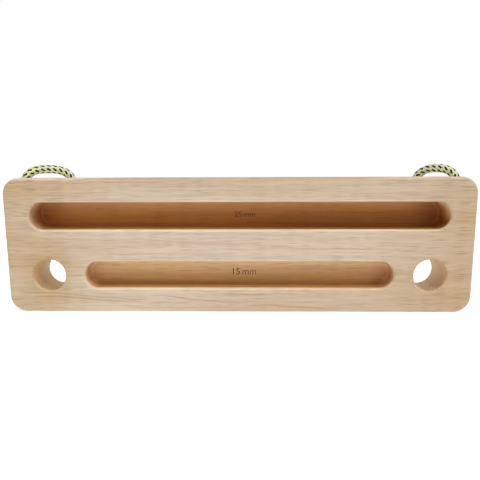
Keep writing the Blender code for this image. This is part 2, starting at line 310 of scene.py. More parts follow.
# Braided sheath: 12 strands each way, over two and under two
sheath = {
    "strands": 12,  # each way round
    "repeat": 0.0054,  # along the cord, from one black tracer to the next
    "ringsPerRepeat": 8,
    "sides": 30,
    "relief": 0.00022,
    "reliefMiddle": 0.6,  # the share of it that lies inside the cord's radius
    "tracerBulk": 0.12,  # how much wider the black strands lie than the lime ones
    "float": 0.15,  # how much longer both lie on top than the white ones, in strands at each end
    "start": -0.24,  # repeats, at the cord's left end
    "turns": [  # degrees, at these distances from the left end, or before the right one
        (0.022, 15), (0.04, -4), (0.06, -7), (-0.0544, -5), (-0.048, 10), (-0.037, 20), (-0.026, 32),
    ],
    "lime": (0.88, 0.95, 0.2),
    "white": (0.95, 0.95, 0.94),
    "black": (0.007, 0.007, 0.006),
    "yarns": 5,  # in a strand
    "yarnRelief": 0.25,
    "fuzz": 0.3,  # the fine fibres standing off it, which catch the light
    "fuzzRoughness": 0.35,
    "roughness": 0.72,
    "specular": 0.3,
    "gapDepth": 0.45,  # of the surface's height, below which painted shade darkens the colours in the gaps between strands
    "paintedGapShade": 0.78,
    "bump": (0.0003, 0.8),  # distance and strength
}


def ringsThrough(points):  # evenly spaced places on a smooth curve through the points, and how far on
    points = np.array(points, float)
    ends = 2 * points[0] - points[1], 2 * points[-1] - points[-2]
    padded = np.vstack([ends[0], points, ends[1]])
    shares = np.arange(cordLine["fineSteps"])[:, None] / cordLine["fineSteps"]
    dense = []
    for a, b, c, d in zip(padded, padded[1:], padded[2:], padded[3:]):
        bend = 2 * a - 5 * b + 4 * c - d + shares * (3 * (b - c) + d - a)
        dense.append(b + 0.5 * shares * (c - a + shares * bend))
    dense = np.vstack([*dense, points[-1:]])
    measured = np.concatenate([[0], np.cumsum(np.linalg.norm(np.diff(dense, axis=0), axis=1))])
    steps = round(measured[-1] * sheath["ringsPerRepeat"] / sheath["repeat"])
    along = measured[-1] * np.arange(steps + 1) / steps
    return np.stack([np.interp(along, measured, dense[:, axis]) for axis in range(3)], 1), along


def overOrUnder(along, around):  # height of the braid's surface, 0 to 1, in its material's pattern
    climb = along * 2 / sheath["repeat"]
    first, second = around * sheath["strands"] - climb, around * sheath["strands"] + climb
    first = first - sheath["tracerBulk"] / math.pi * np.sin(math.pi * first)
    i, j = np.floor(first + 0.5), np.floor(second + 0.5)
    kind = np.mod(i + j, 4)
    run = np.mod(i + second + 0.5 + sheath["float"], 4)
    upper = run < 2 + 2 * sheath["float"]
    across = np.where(upper, first - i, second - j)
    lengthwise = np.where(upper, run / (1 + sheath["float"]) - 1, first - i + kind - 2.5)
    return np.clip(1 - lengthwise ** 2, 0, 1) ** 0.5 * (1 - (2 * across) ** 2) ** 0.5


def sweepCord(name, rings, patternAlong, turns, radii=None):
    rings = np.array(rings, float)
    sides = sheath["sides"]
    tangents = np.gradient(rings, axis=0)
    tangents /= np.linalg.norm(tangents, axis=1)[:, None]
    normal = np.cross(tangents[0], (0, 1, 0) if abs(tangents[0][1]) < 0.9 else (1, 0, 0))
    angles = 2 * math.pi * np.arange(sides) / sides
    around = np.arange(sides) / sides
    vertices = []
    for index, (centre, tangent) in enumerate(zip(rings, tangents)):
        normal = normal - tangent * normal.dot(tangent)
        normal /= np.linalg.norm(normal)
        side = np.cross(tangent, normal)
        raised = overOrUnder(patternAlong[index], around)
        relief = sheath["relief"] * (raised - sheath["reliefMiddle"])
        thick = relief + (cordLine["radius"] if radii is None else radii[index])
        turned = angles + turns[index]
        spoke = np.cos(turned)[:, None] * normal + np.sin(turned)[:, None] * side
        vertices.append(centre + spoke * thick[:, None])
    count = len(rings)
    faces = [
        (r * sides + k, r * sides + (k + 1) % sides, (r + 1) * sides + (k + 1) % sides, (r + 1) * sides + k)
        for r in range(count - 1)
        for k in range(sides)
    ]
    faces.append(tuple(range(sides - 1, -1, -1)))
    faces.append(tuple((count - 1) * sides + k for k in range(sides)))
    mesh = bpy.data.meshes.new(name)
    mesh.from_pydata(np.vstack(vertices).tolist(), [], faces)
    rows = np.repeat(np.arange(count - 1), sides)
    columns = np.tile(np.arange(sides), count - 1)
    along = np.array(patternAlong)
    corners = [(rows, columns), (rows, columns + 1), (rows + 1, columns + 1), (rows + 1, columns)]
    layout = np.stack([np.stack([along[r], c / sides], 1) for r, c in corners], 1).reshape(-1, 2)
    caps = np.repeat([[along[0], 0.0], [along[-1], 0.0]], sides, axis=0)
    braidMap = mesh.uv_layers.new(name="braid")
    braidMap.data.foreach_set("uv", np.vstack([layout, caps]).astype(np.float32).ravel())
    mesh.shade_smooth()
    cord = bpy.data.objects.new(name, mesh)
    bpy.context.scene.collection.objects.link(cord)
    return cord


def makeHangingCord(material):
    rings, along = ringsThrough(cordLine["left"] + hankLine() + cordLine["right"][::-1])
    length = along[-1]
    stations = [(place % length, turn) for place, turn in sheath["turns"]]
    turns = np.radians(np.interp(along, *zip(*stations)))
    cord = sweepCord("hangingCord", rings, along + sheath["start"] * sheath["repeat"], turns)
    cord.data.materials.append(material)
    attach(cord, "root")
    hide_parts("cord_left", "cord_right", "cord_hank")
    return cord, rings, length


def makeSheathMaterial():
    material, tree, shader = newMaterial("braidedSheath")
    parts = splitVector(tree, addNode(tree, "ShaderNodeUVMap", uv_map="braid").outputs[0])
    climb = times(tree, parts[0], 2 / sheath["repeat"])
    around = times(tree, parts[1], sheath["strands"])
    first = minus(tree, around, climb)
    sway = calc(tree, "SINE", times(tree, first, math.pi))
    first = calc(tree, "MULTIPLY_ADD", sway, -sheath["tracerBulk"] / math.pi, first)
    second = calc(tree, "ADD", around, climb)
    i = calc(tree, "ROUND", first)
    j = calc(tree, "ROUND", second)
    kind = calc(tree, "FLOORED_MODULO", calc(tree, "ADD", i, j), 4.0)
    run = calc(tree, "ADD", calc(tree, "ADD", i, second), 0.5 + sheath["float"])
    run = calc(tree, "FLOORED_MODULO", run, 4.0)
    upper = calc(tree, "LESS_THAN", run, 2 + 2 * sheath["float"])
    lower = minus(tree, 1.0, upper)
    offFirst = minus(tree, first, i)
    offSecond = minus(tree, second, j)
    across = calc(tree, "MULTIPLY_ADD", upper, offFirst, times(tree, lower, offSecond))
    alongUpper = calc(tree, "MULTIPLY_ADD", run, 1 / (1 + sheath["float"]), -1.0)
    alongLower = calc(tree, "ADD", offFirst, minus(tree, kind, 2.5))
    lengthwise = calc(tree, "MULTIPLY_ADD", upper, alongUpper, times(tree, lower, alongLower))
    crown, ridge = (
        minus(tree, 1.0, calc(tree, "POWER", calc(tree, "ABSOLUTE", off), 3))
        for off in (lengthwise, times(tree, across, 2.0))
    )
    height = calc(tree, "MULTIPLY", crown, ridge, clamp=True)
    yarns = calc(tree, "ABSOLUTE", calc(tree, "SINE", times(tree, across, math.pi * sheath["yarns"])))
    odd = calc(tree, "FLOORED_MODULO", i, 2.0)
    tracer = blendColors(tree, odd, sheath["black"], sheath["lime"])
    color = blendColors(tree, upper, sheath["white"], tracer)
    # Painted shade in the gaps between the strands.
    gap = remap(tree, height, 0.0, sheath["gapDepth"], sheath["paintedGapShade"], 1.0)
    feedAll(tree, shader, {
        "Base Color": scaledColor(tree, color, gap), "Roughness": sheath["roughness"],
        "Specular IOR Level": sheath["specular"],
        "Sheen Weight": sheath["fuzz"], "Sheen Roughness": sheath["fuzzRoughness"],
    })
    height = calc(tree, "MULTIPLY_ADD", yarns, sheath["yarnRelief"], height)
    addBump(tree, shader, height, *sheath["bump"])
    return material


sheathMaterial = makeSheathMaterial()
hangingCord, cordRings, cordLength = makeHangingCord(sheathMaterial)
print("cord made,", round(cordLength, 3), "m")

# Cord ends: down the bores, into an overhand knot in each recess, with a melted tip
cordEnds = {
    "knotCentre": (0.206, 0.0, 0.0645),
    "line": [  # outwards, back and up from the knot's centre
        (0.001, 0.0, 0.0472), (0.001, 0.0, 0.036), (0.001, 0.0, 0.025),
        (0.001, 0.0, 0.016), (0.0013, 0.0004, 0.0118), (0.0016, 0.001, 0.0085),
        (0.0005, 0.001, 0.0052), (-0.002, -0.0005, 0.0028), (-0.0034, -0.0032, 0.0006),
        (-0.0028, -0.0055, -0.0025), (-0.0002, -0.006, -0.0062), (0.003, -0.0038, -0.0088),
        (0.0049, -0.0002, -0.0093), (0.0048, 0.0042, -0.0077), (0.0027, 0.007, -0.0037),
        (-0.0005, 0.0072, 0.0007), (-0.0036, 0.0064, 0.0049), (-0.0051, 0.003, 0.0085),
        (-0.0044, -0.0016, 0.0093), (-0.0013, -0.0053, 0.0077), (0.002, -0.006, 0.0039),
        (0.0036, -0.0036, -0.0002), (0.0022, -0.0004, -0.0028), (-0.0007, 0.0009, -0.0054),
        (-0.0019, 0.0012, -0.0092), (-0.0018, 0.0012, -0.0128), (-0.0016, 0.0012, -0.016),
    ],
    "knotRadius": 0.00345,  # pulled tight, the cord is thinner
    "tightFrom": (0.008, 0.015),  # above the knot's centre
    "tip": 0.0034,  # length of its melted, rounded end
    "melted": ((0.03, 0.034, 0.01), (0.1, 0.11, 0.035)),
    "lumpsPerMetre": 900.0,
    "lumpDepth": 0.0003,
    "roughness": (0.28, 0.5),
}


def makeTipMaterial():
    material, tree, shader = newMaterial("meltedTip")
    lumps = addNode(tree, "ShaderNodeTexNoise")
    feedAll(tree, lumps, {"Scale": cordEnds["lumpsPerMetre"], "Vector": placeOnObject(tree)})
    feedAll(tree, shader, {
        "Base Color": blendColors(tree, lumps.outputs[0], *cordEnds["melted"]),
        "Roughness": remap(tree, lumps.outputs[0], 0.3, 0.7, *cordEnds["roughness"]),
    })
    addBump(tree, shader, lumps.outputs[0], cordEnds["lumpDepth"])
    return material


def makeCordEnd(name, side, replaced, tipMaterial):
    x, y, z = cordEnds["knotCentre"]
    line = [(side * (x + outwards), y + back, z + up) for outwards, back, up in cordEnds["line"]]
    rings, along = ringsThrough(line)
    heights = [z + up for up in cordEnds["tightFrom"]]
    radii = np.interp(rings[:, 2], heights, (cordEnds["knotRadius"], cordLine["radius"]))
    fromTip = np.clip((along[-1] - along) / cordEnds["tip"], 0.05, 1)
    radii = radii * (1 - (1 - fromTip) ** 2) ** 0.5
    cordEnd = sweepCord(name, rings, along, np.zeros(len(along)), radii)
    cordEnd.data.materials.append(sheathMaterial)
    cordEnd.data.materials.append(tipMaterial)
    startCap = (len(along) - 1) * sheath["sides"]
    firstMelted = startCap - np.count_nonzero(fromTip < 1) * sheath["sides"]
    for face in cordEnd.data.polygons:
        face.material_index = 1 if face.index >= firstMelted and face.index != startCap else 0
    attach(cordEnd, "root")
    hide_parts(*replaced)
    return cordEnd


tipMaterial = makeTipMaterial()
leftEnd = makeCordEnd("cordEndLeft", -1, ("cord_in_bore_left", "stopper_knot_left"), tipMaterial)
rightEnd = makeCordEnd("cordEndRight", 1, ("cord_in_bore_right", "stopper_knot_right"), tipMaterial)
print("knots made")

# Modelling by hand: selections, bevels, cutters
nearly = 0.0001  # metres: two places this near count as one


def selectOnly(piece):
    bpy.ops.object.select_all(action="DESELECT")
    bpy.context.view_layer.objects.active = piece
    piece.select_set(True)


def openForEditing(piece, kind="EDGE"):
    selectOnly(piece)
    bpy.ops.object.mode_set(mode="EDIT")
    bpy.ops.mesh.select_mode(type=kind)
    bpy.ops.mesh.select_all(action="DESELECT")
    return bmesh.from_edit_mesh(piece.data)


def applyModifier(piece, kind, **settings):
    selectOnly(piece)
    modifier = piece.modifiers.new(kind.lower(), kind)
    for name, value in settings.items():
        setattr(modifier, name, value)
    bpy.ops.object.modifier_apply(modifier=modifier.name)


def addBlock(name, low, high):
    middle = [(a + b) / 2 for a, b in zip(low, high)]
    bpy.ops.mesh.primitive_cube_add(size=1, location=middle)
    block = bpy.context.object
    block.name = name
    block.scale = [b - a for a, b in zip(low, high)]
    bpy.ops.object.transform_apply()
    return block


def bevelEdges(piece, width, segments, wanted):  # wanted says which edges, from their two ends
    mesh = openForEditing(piece)
    for edge in mesh.edges:
        edge.select_set(wanted(edge.verts[0].co, edge.verts[1].co))
    bmesh.update_edit_mesh(piece.data)
    bpy.ops.mesh.bevel(
        offset=width, offset_type="OFFSET", segments=segments, profile=0.5,
        affect="EDGES", clamp_overlap=False, loop_slide=False,
    )
    bpy.ops.mesh.select_all(action="SELECT")
    bpy.ops.mesh.remove_doubles(threshold=0.02 * nearly)
    bpy.ops.object.mode_set(mode="OBJECT")


def turnedCutter(name, profile, sides, place, turn=(0, 0, 0)):  # profile is (height, radius)
    height, radius = profile[0]
    start = (0, 0, height)
    bpy.ops.mesh.primitive_circle_add(vertices=sides, radius=radius, fill_type="NGON", location=start)
    cutter = bpy.context.object
    cutter.name = name
    bpy.ops.object.transform_apply()
    bpy.ops.object.mode_set(mode="EDIT")
    bpy.ops.mesh.select_mode(type="FACE")
    bpy.ops.mesh.select_all(action="SELECT")
    for (height, radius), (nextHeight, nextRadius) in zip(profile, profile[1:]):
        bpy.ops.mesh.extrude_region_move(TRANSFORM_OT_translate={"value": (0, 0, nextHeight - height)})
        wider = nextRadius / radius
        bpy.ops.transform.resize(value=(wider, wider, 1), center_override=(0, 0, nextHeight))
    bpy.ops.mesh.select_all(action="SELECT")
    bpy.ops.mesh.normals_make_consistent(inside=False)
    bpy.ops.object.mode_set(mode="OBJECT")
    cutter.rotation_euler = turn
    cutter.location = place
    bpy.ops.object.transform_apply()
    return cutter


def cutAway(piece, cutter):
    applyModifier(
        piece, "BOOLEAN", operation="DIFFERENCE", solver="EXACT",
        material_mode="TRANSFER", object=cutter,
    )
    bpy.data.objects.remove(cutter)


def smoothPiece(piece):
    selectOnly(piece)
    bpy.ops.object.shade_smooth_by_angle(angle=math.radians(30))
    applyModifier(piece, "WEIGHTED_NORMAL", keep_sharp=True, weight=90)


# Strap round the hank's waist: hook-and-loop tape, once round and pressed down on itself
strap = {
    "width": 0.018,
    "thickness": 0.0015,
    "clearance": 0.0003,
    "tabLength": 0.0065,  # past the last bend
    "tabSteps": (0.45, 0.7, 0.88, 1.0),
    "tabWidths": (0.93, 0.78, 0.52),  # of the full width, towards the rounded end
    "arcStep": 12,  # degrees
    "overlap": (285, 360),  # where it climbs onto its own start
    "edgeRound": 0.00035,
    "black": (0.016, 0.016, 0.018),
    "worn": (0.045, 0.045, 0.048),
    "rib": 0.0012,
    "lintPerMetre": 1600.0,
    "lintDepth": 0.0003,
    "roughness": (0.78, 0.95),
    "specular": 0.25,
}


def strapPath():  # (y, z) along the middle of the tape's thickness
    centreY = hankLay["centre"][1]
    front, back = centreY - hankLay["waist"], centreY + hankLay["waist"]
    low = hankLay["firstLayer"]
    frontTop = low + hankLay["turns"] * hankLay["layerPitch"]
    backTop = frontTop - hankLay["layerPitch"]
    slope = math.degrees(math.atan2(back - front, frontTop - backTop))
    snug = cordLine["radius"] + strap["clearance"] + strap["thickness"] / 2
    corners = [  # the cord that it bends round, and the bend's first and last angle
        (back, low, 0, 0), (back, backTop, 0, slope), (front, frontTop, slope, 180),
        (front, low, 180, 270), (back, low, 270, 360), (back, backTop, 360, 360 + slope),
    ]
    path = []
    start, end = strap["overlap"]
    for y, z, first, last in corners:
        steps = max(round((last - first) / strap["arcStep"]), 1) if last > first else 0
        for step in range(steps + 1):
            angle = first + (last - first) * step / max(steps, 1)
            climb = smoothShare((angle - start) / (end - start))
            reach = snug + (strap["thickness"] + strap["clearance"]) * climb
            turned = math.radians(angle)
            path.append((y + reach * math.cos(turned), z + reach * math.sin(turned)))
    y, z = path[-1]
    turned = math.radians(slope)
    for share in strap["tabSteps"]:
        run = strap["tabLength"] * share
        path.append((y - run * math.sin(turned), z + run * math.cos(turned)))
    return path


def makeStrapMaterial():
    material, tree, shader = newMaterial("hookAndLoopTape")
    along = splitVector(tree, addNode(tree, "ShaderNodeUVMap", uv_map="tape").outputs[0])[1]
    rows = calc(tree, "SINE", times(tree, along, 2 * math.pi / strap["rib"]))
    fuzz = addNode(tree, "ShaderNodeTexNoise")
    feedAll(tree, fuzz, {"Scale": strap["lintPerMetre"], "Detail": 4, "Vector": placeOnObject(tree)})
    lint = remap(tree, fuzz.outputs[0], 0.45, 0.75)
    feedAll(tree, shader, {
        "Base Color": blendColors(tree, lint, strap["black"], strap["worn"]),
        "Roughness": remap(tree, fuzz.outputs[0], 0.3, 0.7, *strap["roughness"]),
        "Specular IOR Level": strap["specular"],
    })
    addBump(tree, shader, calc(tree, "MULTIPLY_ADD", rows, 0.2, fuzz.outputs[0]), strap["lintDepth"])
    return material


def makeStrap(material):
    path = strapPath()
    (y, low), (y, high) = path[:2]
    middleX = hankLay["centre"][0]
    bpy.ops.mesh.primitive_plane_add(
        size=1, calc_uvs=False, rotation=(math.pi / 2, 0, 0), location=(middleX, y, (low + high) / 2)
    )
    tape = bpy.context.object
    tape.name = "hankTie"
    tape.scale = (strap["width"], high - low, 1)
    bpy.ops.object.transform_apply()
    mesh = openForEditing(tape)
    for edge in mesh.edges:
        edge.select_set(min(v.co.z for v in edge.verts) > high - nearly)
    bmesh.update_edit_mesh(tape.data)
    full = len(path) - 2 - len(strap["tabWidths"])
    widths = [1.0] * full + list(strap["tabWidths"])
    before = 1.0
    for (y, z), (nextY, nextZ), wide in zip(path[1:], path[2:], widths):
        bpy.ops.mesh.extrude_region_move(TRANSFORM_OT_translate={"value": (0, nextY - y, nextZ - z)})
        if wide < before:
            bpy.ops.transform.resize(value=(wide / before, 1, 1), center_override=(middleX, nextY, nextZ))
        before = wide
    bpy.ops.object.mode_set(mode="OBJECT")
    along = np.cumsum([0] + [math.dist(a, b) for a, b in zip(path, path[1:])])
    tapeMap = tape.data.uv_layers.new(name="tape")
    for loop in tape.data.loops:
        vertex = tape.data.vertices[loop.vertex_index]
        tapeMap.data[loop.index].uv = (vertex.co.x, along[vertex.index // 2])
    applyModifier(tape, "SOLIDIFY", thickness=strap["thickness"], offset=0.0)
    applyModifier(tape, "BEVEL", width=strap["edgeRound"], segments=2, limit_method="ANGLE")
    smoothPiece(tape)
    tape.data.materials.append(material)
    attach(tape, "root")
    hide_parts("hank_tie")
    return tape


hankTie = makeStrap(makeStrapMaterial())

# Board: one block with two finger slots, two grip holes, and a bore and a knot recess at each end
boardShape = {
    "cornerRadius": 0.016,
    "cornerSteps": 24,
    "edgeRound": 0.003,
    "roundSteps": 6,
    "slotHeight": 0.025,
    "slotLip": 0.0025,
    "slotFloorRound": 0.003,
    "slotSteps": (32, 6, 6),  # of its round ends, its floor's edge and its lip
    "slots": {
        "deepSlot": {"depth": 0.025, "endWall": 0.024, "centreZ": 0.0924},
        "shallowSlot": {"depth": 0.015, "endWall": 0.074, "centreZ": 0.0363},
    },
    "holeRadius": 0.015,
    "holeLip": 0.0025,
    "holeFromEnd": 0.04,
    "holeZ": 0.036,
    "holeSides": 72,
    "boreRadius": 0.005,
    "boreLip": 0.0055,
    "boreSides": 48,
    "boreFromEnd": 0.013,
    "recessWidth": 0.018,
    "recessDepth": 0.0289,
    "recessHeight": 0.031,
    "recessRoofBelowTop": 0.0505,
    "recessInwardOfBore": 0.001,
    "recessRounds": (0.003, 0.002, 0.001),  # of its corners, its floor's edge and its lip
    "recessSteps": (6, 4, 4),
    "cutBeyond": 0.01,  # how far a cutter stands out of the wood
}
depthMarks = {
    "depth": 0.0004,
    "drawnSize": 0.01,
    "wordSpace": 0.55,
    "burnt": ((0.13, 0.048, 0.009), (0.22, 0.09, 0.022)),
    "roughness": 0.8,
    "marks": {
        "deepSlot": {"text": "25 mm", "x": 0.0061, "z": 0.092, "height": 0.0055, "width": 0.0202},
        "shallowSlot": {"text": "15 mm", "x": 0.005, "z": 0.0368, "height": 0.0063, "width": 0.0226},
    },
}
boardLow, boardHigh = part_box("board")


def lipProfile(lip, radius, face, outwards):  # from the wall round to the face and on past it
    arc = []
    for step in range(boardShape["roundSteps"] + 1):
        angle = 0.5 * math.pi * step / boardShape["roundSteps"]
        arc.append((face - outwards * lip * (1 - math.sin(angle)), radius + lip * (1 - math.cos(angle))))
    return arc + [(face + outwards * 0.4 * boardShape["cutBeyond"], radius + lip)]


def slotHalf(slot):
    return boardHigh.x - slot["endWall"]


def cutPocket(board, name, low, high, radii, steps):  # from the front, or else from the back
    faceY, floorY = (boardLow.y, high[1]) if low[1] < boardLow.y else (boardHigh.y, low[1])

    def onMouth(p):
        inside = low[0] - nearly < p.x < high[0] + nearly and low[2] - nearly < p.z < high[2] + nearly
        return inside and abs(p.y - faceY) < 0.1 * nearly

    cutter = addBlock(name, low, high)
    bevelEdges(cutter, radii[0], steps[0], lambda a, b: abs(a.y - b.y) > 10 * nearly)
    bevelEdges(cutter, radii[1], steps[1], lambda a, b: max(abs(a.y - floorY), abs(b.y - floorY)) < nearly)
    cutAway(board, cutter)
    bevelEdges(board, radii[2], steps[2], lambda a, b: onMouth(a) and onMouth(b))


def cutSlot(board, name, slot):
    half, tall = slotHalf(slot), boardShape["slotHeight"] / 2
    low = (-half, boardLow.y - boardShape["cutBeyond"], slot["centreZ"] - tall)
    high = (half, boardLow.y + slot["depth"], slot["centreZ"] + tall)
    radii = (tall, boardShape["slotFloorRound"], boardShape["slotLip"])
    cutPocket(board, name, low, high, radii, boardShape["slotSteps"])


def cutHole(board, side):
    rim = boardShape["holeLip"], boardShape["holeRadius"]
    profile = lipProfile(*rim, -boardHigh.y, -1)[::-1] + lipProfile(*rim, -boardLow.y, 1)
    place = (side * (boardHigh.x - boardShape["holeFromEnd"]), 0, boardShape["holeZ"])
    cutAway(board, turnedCutter("holeCutter", profile, boardShape["holeSides"], place, (math.pi / 2, 0, 0)))


def cutBoreAndRecess(board, side):
    boreX = side * (boardHigh.x - boardShape["boreFromEnd"])
    middleX = boreX - side * boardShape["recessInwardOfBore"]
    roof = boardHigh.z - boardShape["recessRoofBelowTop"]
    wide = boardShape["recessWidth"] / 2
    low = (middleX - wide, boardHigh.y - boardShape["recessDepth"], roof - boardShape["recessHeight"])
    high = (middleX + wide, boardHigh.y + boardShape["cutBeyond"], roof)
    cutPocket(board, "recessCutter", low, high, boardShape["recessRounds"], boardShape["recessSteps"])
    profile = [(roof - 0.4 * boardShape["cutBeyond"], boardShape["boreRadius"])]
    profile += lipProfile(boardShape["boreLip"], boardShape["boreRadius"], boardHigh.z, 1)
    cutAway(board, turnedCutter("boreCutter", profile, boardShape["boreSides"], (boreX, 0, 0)))


def engraveMark(board, slot, mark, material):
    bpy.ops.object.text_add(rotation=(math.pi / 2, 0, 0))
    letters = bpy.context.object
    letters.data.body = mark["text"]
    letters.data.align_x = "CENTER"
    letters.data.size = depthMarks["drawnSize"]
    letters.data.space_word = depthMarks["wordSpace"]
    letters.data.extrude = depthMarks["depth"]
    letters.data.materials.append(material)
    selectOnly(letters)
    bpy.ops.object.convert(target="MESH")
    bpy.ops.object.transform_apply()
    openForEditing(letters, "VERT")
    bpy.ops.mesh.select_all(action="SELECT")
    bpy.ops.mesh.remove_doubles(threshold=0.1 * nearly)
    bpy.ops.mesh.normals_make_consistent(inside=False)
    bpy.ops.object.mode_set(mode="OBJECT")
    wide, _, high = letters.dimensions
    letters.scale = (mark["width"] / wide, 1, mark["height"] / high)
    letters.location = (mark["x"], boardLow.y + slot["depth"], mark["z"] - mark["height"] / 2)
    bpy.ops.object.transform_apply()
    cutAway(board, letters)


def makeBoard(material, burnt):
    board = addBlock("hangboard", boardLow, boardHigh)
    board.data.materials.append(material)
    corner, steps = boardShape["cornerRadius"], boardShape["cornerSteps"]
    bevelEdges(board, corner, steps, lambda a, b: abs(a.y - b.y) > 10 * nearly)
    bothFaces = 2 * (boardHigh.y - nearly)
    edge, steps = boardShape["edgeRound"], boardShape["roundSteps"]
    bevelEdges(board, edge, steps, lambda a, b: abs(a.y + b.y) > bothFaces)
    for name, slot in boardShape["slots"].items():
        cutSlot(board, name, slot)
    for side in (-1, 1):
        cutHole(board, side)
        cutBoreAndRecess(board, side)
    for name, mark in depthMarks["marks"].items():
        engraveMark(board, boardShape["slots"][name], mark, burnt)
    smoothPiece(board)
    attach(board, "root")
    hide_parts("board")
    return board


# Wood: pale, fine-pored and straight-grained along the board
wood = {
    "pale": (0.715, 0.59, 0.458),
    "tan": (0.6, 0.42, 0.25),
    "pinkish": (0.64, 0.455, 0.325),
    "poreShade": (0.3, 0.2, 0.115),
    "tanFrom": (0.1, 0.23),  # where it sets in and where it is full, as in the other From pairs
    # painted shade, darker towards the right, where the lamp lights the face more
    "paintedRightShade": (0.955, 0.935, 0.905),
    "rightFrom": (-0.1, 0.14),
    "leftCorner": (0.9, 0.84, 0.7),  # round the left hole
    "cornerFrom": (0.038, 0.012),
    "lowLeft": (1.01, 1.05, 1.07),
    "lowLeftFrom": ((0.0, -0.08), (0.045, 0.02)),
    # a painted highlight on the holes' lower rim, which faces up to the lamp, and painted shade on their
    # upper rim
    "holeLip": (1.22, 1.2, 1.18),
    "paintedHoleEdgeShade": (0.9, 0.84, 0.76),
    "paintedHoleFront": (1.24, 1.13, 0.98),  # the hole's wall: painted light and shade, paler towards the back where light comes through, darker low at the front
    "holeLow": (0.95, 0.9, 0.81),
    "paintedHoleBackLight": (1.4, 1.52, 1.62),
    "slots": {  # what each place keeps of the colour: the lips paler, partly as sanded wood and partly as a painted highlight; inside, painted shade, and a little painted light on the end walls
        "deepSlot": {
            "lip": (1.3, 1.38, 1.38),
            "paintedUnderLipShade": (0.66, 0.54, 0.42),
            "paintedWallTopShade": (0.945, 0.63, 0.36),
            "paintedWallBottomShade": (0.73, 0.35, 0.068),
            "floor": (0.76, 0.47, 0.17),
            "corner": (0.86, 0.78, 0.66),
            "ends": (0.84, 0.78, 0.7),
            "paintedEndRim": (1.08, 0.98, 0.88),
            "paintedEndDeepShade": (0.84, 0.5, 0.26),
            "paintedEndLowShade": (0.56, 0.42, 0.28),
            "paintedEndHighRightLight": (1.36, 1.36, 1.4),
            "right": (0.82, 0.77, 0.54),
            "rise": (-0.22, 1.08),
        },
        "shallowSlot": {
            "lip": (1.31, 1.22, 1.12),
            "paintedUnderLipShade": (0.8, 0.72, 0.62),
            "paintedWallTopShade": (1.2, 1.07, 0.8),
            "paintedWallBottomShade": (0.78, 0.47, 0.185),
            "floor": (0.8, 0.53, 0.26),
            "corner": (0.66, 0.55, 0.42),
            "ends": (1.0, 0.98, 1.0),
            "paintedEndRim": (1.0, 0.9, 0.8),
            "paintedEndDeepShade": (0.84, 0.58, 0.36),
            "paintedEndLowShade": (0.86, 0.8, 0.74),
            "paintedEndHighRightLight": (1.1, 1.1, 1.1),
            "right": (0.97, 0.96, 0.94),
            "rise": (-0.72, 1.18),
        },
    },
    "growthLines": [  # (x, z) along the darker lines near the lower and the upper edge
        [(-0.213, 0.0188), (-0.166, 0.0183), (-0.145, 0.016), (-0.108, 0.013), (-0.085, 0.0122)],
        [(-0.078, 0.0178), (-0.062, 0.015), (-0.045, 0.0126), (-0.025, 0.0112), (0.008, 0.009)],
        [(0.005, 0.0054), (0.031, 0.0073), (0.045, 0.0059), (0.073, 0.0045), (0.091, 0.0035)],
        [(-0.2, 0.015), (-0.165, 0.0148), (-0.13, 0.0118), (-0.1, 0.0105)],
        [(-0.018, 0.0183), (0.005, 0.018), (0.03, 0.0172)],
        [(-0.131, 0.1242), (-0.095, 0.1238), (-0.06, 0.1241)],
    ],
    "lineReach": 0.25,  # what the curve node's square stands for
    "lineHeight": 0.13,
    "lineFade": (-0.004, 0.014),
    "lineWidth": 0.0011,
    "lineShade": (0.79, 0.66, 0.56),
    "pores": 0.36,
    "endPores": 0.58,
    "endPoresFrom": (0.13, 0.2),
    # painted shade on the top edge's round, which faces the lamp, and a painted highlight on it near the
    # ends
    "topEdge": (0.94, 0.92, 0.9),
    "topEdgeBelow": (0.0036, 0.0012),
    "topEdgeEndHighlight": (1.32, 1.42, 1.54),  # a painted highlight on the top edge's round near the ends
    "topEdgeEndsFrom": (0.11, 0.17),
    "roughness": (0.62, 0.5),
    "specular": 0.35,
    "bump": (0.00012, 0.5),  # distance and strength
}


def startGroup(name, inputs, outputs):
    tree = bpy.data.node_groups.new(name, "ShaderNodeTree")
    for label, kind in inputs:
        tree.interface.new_socket(label, in_out="INPUT", socket_type=kind)
    for label, kind in outputs:
        tree.interface.new_socket(label, in_out="OUTPUT", socket_type=kind)
    return tree, addNode(tree, "NodeGroupInput"), addNode(tree, "NodeGroupOutput")


def stretched(tree, place, scale, move):
    node = addNode(tree, "ShaderNodeMapping")
    feedAll(tree, node, {"Vector": place, "Location": move, "Scale": scale})
    return node.outputs[0]


def noise(tree, place, scale, detail=2.0, roughness=0.5, move=(0, 0, 0)):  # scale per metre
    node = addNode(tree, "ShaderNodeTexNoise")
    place = stretched(tree, place, scale, move)
    feedAll(tree, node, {"Vector": place, "Scale": 1.0, "Detail": detail, "Roughness": roughness})
    return node.outputs[0]


